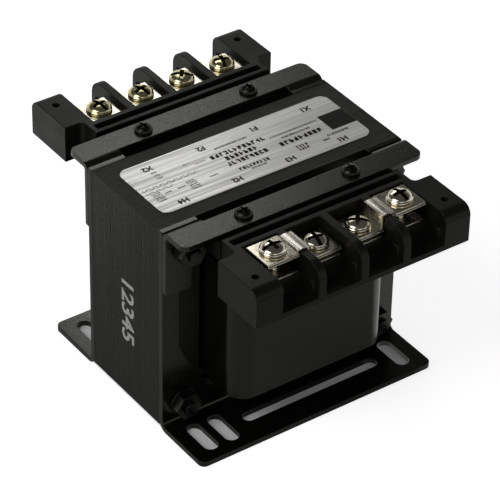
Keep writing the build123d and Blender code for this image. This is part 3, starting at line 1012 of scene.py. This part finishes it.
def add_glyphs(shape, words, height, middle, right, up, bold):
    """Raised generic marks, centred on a place, with the reading and upright directions."""
    curve = bpy.data.curves.new("mark", "FONT")
    curve.body = words
    curve.size = 1.0
    curve.align_x = "CENTER"
    curve.align_y = "CENTER"
    curve.resolution_u = 3
    curve.offset = bold
    holder = put("mark", curve)
    bpy.context.view_layer.update()
    mesh = bpy.data.meshes.new_from_object(holder)
    bpy.data.objects.remove(holder)
    bpy.data.curves.remove(curve)
    size = height / max(point.co.y for point in mesh.vertices) / 2
    glyphs = bmesh.new()
    glyphs.from_mesh(mesh)
    bpy.data.meshes.remove(mesh)
    for point in extruded(glyphs, glyphs.faces[:]):
        point.co.z += PRINT_THICK / size
    bmesh.ops.recalc_face_normals(glyphs, faces=glyphs.faces)
    turn = facing(right, up, right.cross(up))
    place = Matrix.Translation(middle) @ turn @ Matrix.Scale(size, 4)
    bmesh.ops.transform(glyphs, matrix=place, verts=glyphs.verts)
    merge(shape, glyphs)


def add_bar(shape, left, right, low, high):
    """A flat printed bar on the top of the label, from its sides in mm."""
    x0, x1, y0, y1 = (side * MM for side in (left, right, low, high))
    middle = Vector(((x0 + x1) / 2, (y0 + y1) / 2, LABEL[1].z + PRINT_THICK / 2))
    place = Matrix.Translation(middle) @ Matrix.Diagonal((x1 - x0, y1 - y0, PRINT_THICK, 1))
    bmesh.ops.create_cube(shape, size=1.0, matrix=place)


# Lines of print on the label: left and right end, middle height and letter height, in mm.
PRINT_LINES = (
    (-10.4, 9.3, 3.3, 1.9), (-6.8, 5.4, 0.6, 1.9), (-8.1, 7.1, -2.2, 1.9),
    (-6.5, 4.8, -6.1, 1.4), (-3.2, 2.1, -7.7, 0.7), (-6.8, 5.3, 6.6, 0.8),
    (10.8, 27.4, -2.3, 2.0), (13.3, 24.1, 0.4, 0.8), (10.3, 27.8, 2.3, 0.6),
    (14.0, 18.2, -6.1, 1.1), (14.0, 18.4, -7.7, 1.1), (25.3, 33.0, -6.2, 0.9),
    (22.5, 25.7, -7.7, 0.8), (-15.9, -12.6, -4.3, 0.7), (-15.8, -12.3, 3.5, 0.6),
    (-29.3, -26.8, 6.4, 0.8), (-29.2, -26.8, 4.9, 0.8), (-29.2, -26.8, 3.4, 0.8),
    (-19.2, -16.8, 4.8, 0.7), (-31.4, -28.6, -4.0, 0.7), (-27.0, -24.1, -4.0, 0.7),
)
# Columns of short entries: left and right end, lowest and highest line, in mm.
PRINT_COLUMNS = ((-35.3, -32.3, -6.6, -2.8), (-23.4, -20.2, -6.6, -2.8))
COLUMN_PITCH = 0.95
COLUMN_LETTER = 0.6
# Windings drawn as rows of loops: left and right end and height, in mm.
COIL_SIGNS = ((-36.4, -17.0, 0.0), (-36.4, -26.0, -1.9))
LOOP_STEP, LOOP_RISE, LOOP_LINE = 1.2, 0.35, 0.18
# The dark field at the right end: left side, gap to the label's edge, low and high side, in mm.
DARK_FIELD = (28.5, 0.05, -4.6, 3.5)
# Height of the two rows of terminal marks, and how far their strokes are thickened.
FRONT_MARK_ROW, REAR_MARK_ROW = -9.9 * MM, 9.1 * MM
MARK_BOLD = 0.045
# A letter's width, stroke and gap in letter heights, a word's gap in widths, and its chance.
LETTER_WIDE, LETTER_STROKE, LETTER_GAP = 0.62, 0.32, 0.24
WORD_GAP, WORD_ENDS = 0.5, 0.06


class TRANSFORMER_OT_label(bpy.types.Operator):
    """Label film with generic print: terminal marks, lines of strokes and a dark field"""

    bl_idname = "transformer.label"
    bl_label = "Rating label"

    def execute(self, context):
        settings = context.scene.transformer_label
        edged_copy("rating_label", label_film(settings.film), 0.04 * MM)
        ink = printed_ink("Label ink", settings.ink, roughness=0.42, wear=0.2)
        shape = bmesh.new()
        self.terminal_marks(shape, settings)
        draw = random.Random(11)
        for left, right, y, tall in PRINT_LINES:
            self.stroke_line(shape, draw, left, right, y, tall)
        for left, right, low, high in PRINT_COLUMNS:
            for row in range(round((high - low) / COLUMN_PITCH) + 1):
                y = low + COLUMN_PITCH * row
                self.stroke_line(shape, draw, left, right, y, COLUMN_LETTER)
        for left, right, y in COIL_SIGNS:
            self.coil_sign(shape, left, right, y)
        left, margin, low, high = DARK_FIELD
        add_bar(shape, left, LABEL[1].x / MM - margin, low, high)
        add_piece("label_print", shape, ink, "root")
        return {"FINISHED"}

    def terminal_marks(self, shape, settings):
        """Marks in the order of the terminals, read from the secondary side."""
        for row, marks in ((FRONT_MARK_ROW, FRONT_MARKS), (REAR_MARK_ROW, REAR_MARKS)):
            for place, mark in enumerate(marks):
                along = settings.mark_first + place * settings.mark_pitch
                add_glyphs(
                    shape, mark.upper(), settings.mark_height, Vector((along, row, LABEL[1].z)),
                    Vector((-1, 0, 0)), Vector((0, -1, 0)), MARK_BOLD,
                )

    def stroke_line(self, shape, draw, left, right, y, tall):
        """A line of upright strokes with level ticks, as dense as small print."""
        wide = tall * LETTER_WIDE
        stroke = tall * LETTER_STROKE
        low, high = y - tall / 2, y + tall / 2
        while left + wide <= right:
            upright = left + draw.choice((0, wide - stroke))
            add_bar(shape, upright, upright + stroke, low, high)
            levels = (low, y - stroke / 2, high - stroke)
            for level in draw.sample(levels, draw.choice((1, 2, 2, 3))):
                add_bar(shape, left, left + wide, level, level + stroke)
            left += wide + tall * LETTER_GAP
            if draw.random() < WORD_ENDS:
                left += wide * WORD_GAP

    def coil_sign(self, shape, left, right, y):
        """A winding drawn as a row of small loops."""
        for index in range(int((right - left) / LOOP_STEP)):
            start = left + index * LOOP_STEP
            rise = LOOP_RISE if index % 2 else -LOOP_RISE
            add_bar(shape, start, start + LOOP_STEP, y + rise, y + rise + LOOP_LINE)
            add_bar(shape, start, start + LOOP_LINE, y - LOOP_RISE, y + LOOP_RISE + LOOP_LINE)


# Middle of the digits on the core's left side, and how far their strokes are thickened.
CODE_MIDDLE = Vector((CORE[0].x + 0.02 * MM, -0.9 * MM, 33.5 * MM))
CODE_BOLD = 0.02


class TRANSFORMER_OT_core_code(bpy.types.Operator):
    """Plain white digits down the side of the core"""

    bl_idname = "transformer.core_code"
    bl_label = "Core digits"

    def execute(self, context):
        settings = context.scene.transformer_label
        white = printed_ink("White ink", WHITE_INK, roughness=0.5, wear=0.35)
        shape = bmesh.new()
        add_glyphs(
            shape, "12345", settings.code_height, CODE_MIDDLE, Vector((0, 0, -1)),
            Vector((0, -1, 0)), CODE_BOLD,
        )
        tops = [point.co.z for point in shape.verts]
        stretch = settings.code_length / (max(tops) - min(tops))
        bmesh.ops.transform(
            shape, verts=shape.verts,
            matrix=Matrix.Translation(CODE_MIDDLE) @ Matrix.Diagonal((1, 1, stretch, 1))
            @ Matrix.Translation(-CODE_MIDDLE),
        )
        add_piece("core_digits", shape, white, "root")
        return {"FINISHED"}


OPERATORS = (
    TRANSFORMER_OT_stage,
    TRANSFORMER_OT_core,
    TRANSFORMER_OT_coil,
    TRANSFORMER_OT_brackets,
    TRANSFORMER_OT_core_fasteners,
    TRANSFORMER_OT_blocks,
    TRANSFORMER_OT_terminals,
    TRANSFORMER_OT_links,
    TRANSFORMER_OT_block_screws,
    TRANSFORMER_OT_label,
    TRANSFORMER_OT_core_code,
)


class TRANSFORMER_PT_finish(bpy.types.Panel):
    """Lists the pieces and their settings"""

    bl_idname = "TRANSFORMER_PT_finish"
    bl_label = "Control transformer"
    bl_space_type = "VIEW_3D"
    bl_region_type = "UI"
    bl_category = "Transformer"

    def draw(self, context):
        for operator in OPERATORS:
            self.layout.operator(operator.bl_idname)
        for name, group in SETTINGS.items():
            box = self.layout.box()
            box.label(text=group.__doc__)
            for value in group.__annotations__:
                box.prop(getattr(context.scene, name), value)


def register():
    for name, group in SETTINGS.items():
        bpy.utils.register_class(group)
        setattr(bpy.types.Scene, name, bpy.props.PointerProperty(type=group))
    for operator in OPERATORS:
        bpy.utils.register_class(operator)
    bpy.utils.register_class(TRANSFORMER_PT_finish)


def unregister():
    bpy.utils.unregister_class(TRANSFORMER_PT_finish)
    for operator in reversed(OPERATORS):
        bpy.utils.unregister_class(operator)
    for name, group in SETTINGS.items():
        delattr(bpy.types.Scene, name)
        bpy.utils.unregister_class(group)


def main():
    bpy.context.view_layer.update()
    register()
    for operator in OPERATORS:
        family, action = operator.bl_idname.split(".")
        getattr(getattr(bpy.ops, family), action)()


if __name__ == "__main__":
    main()
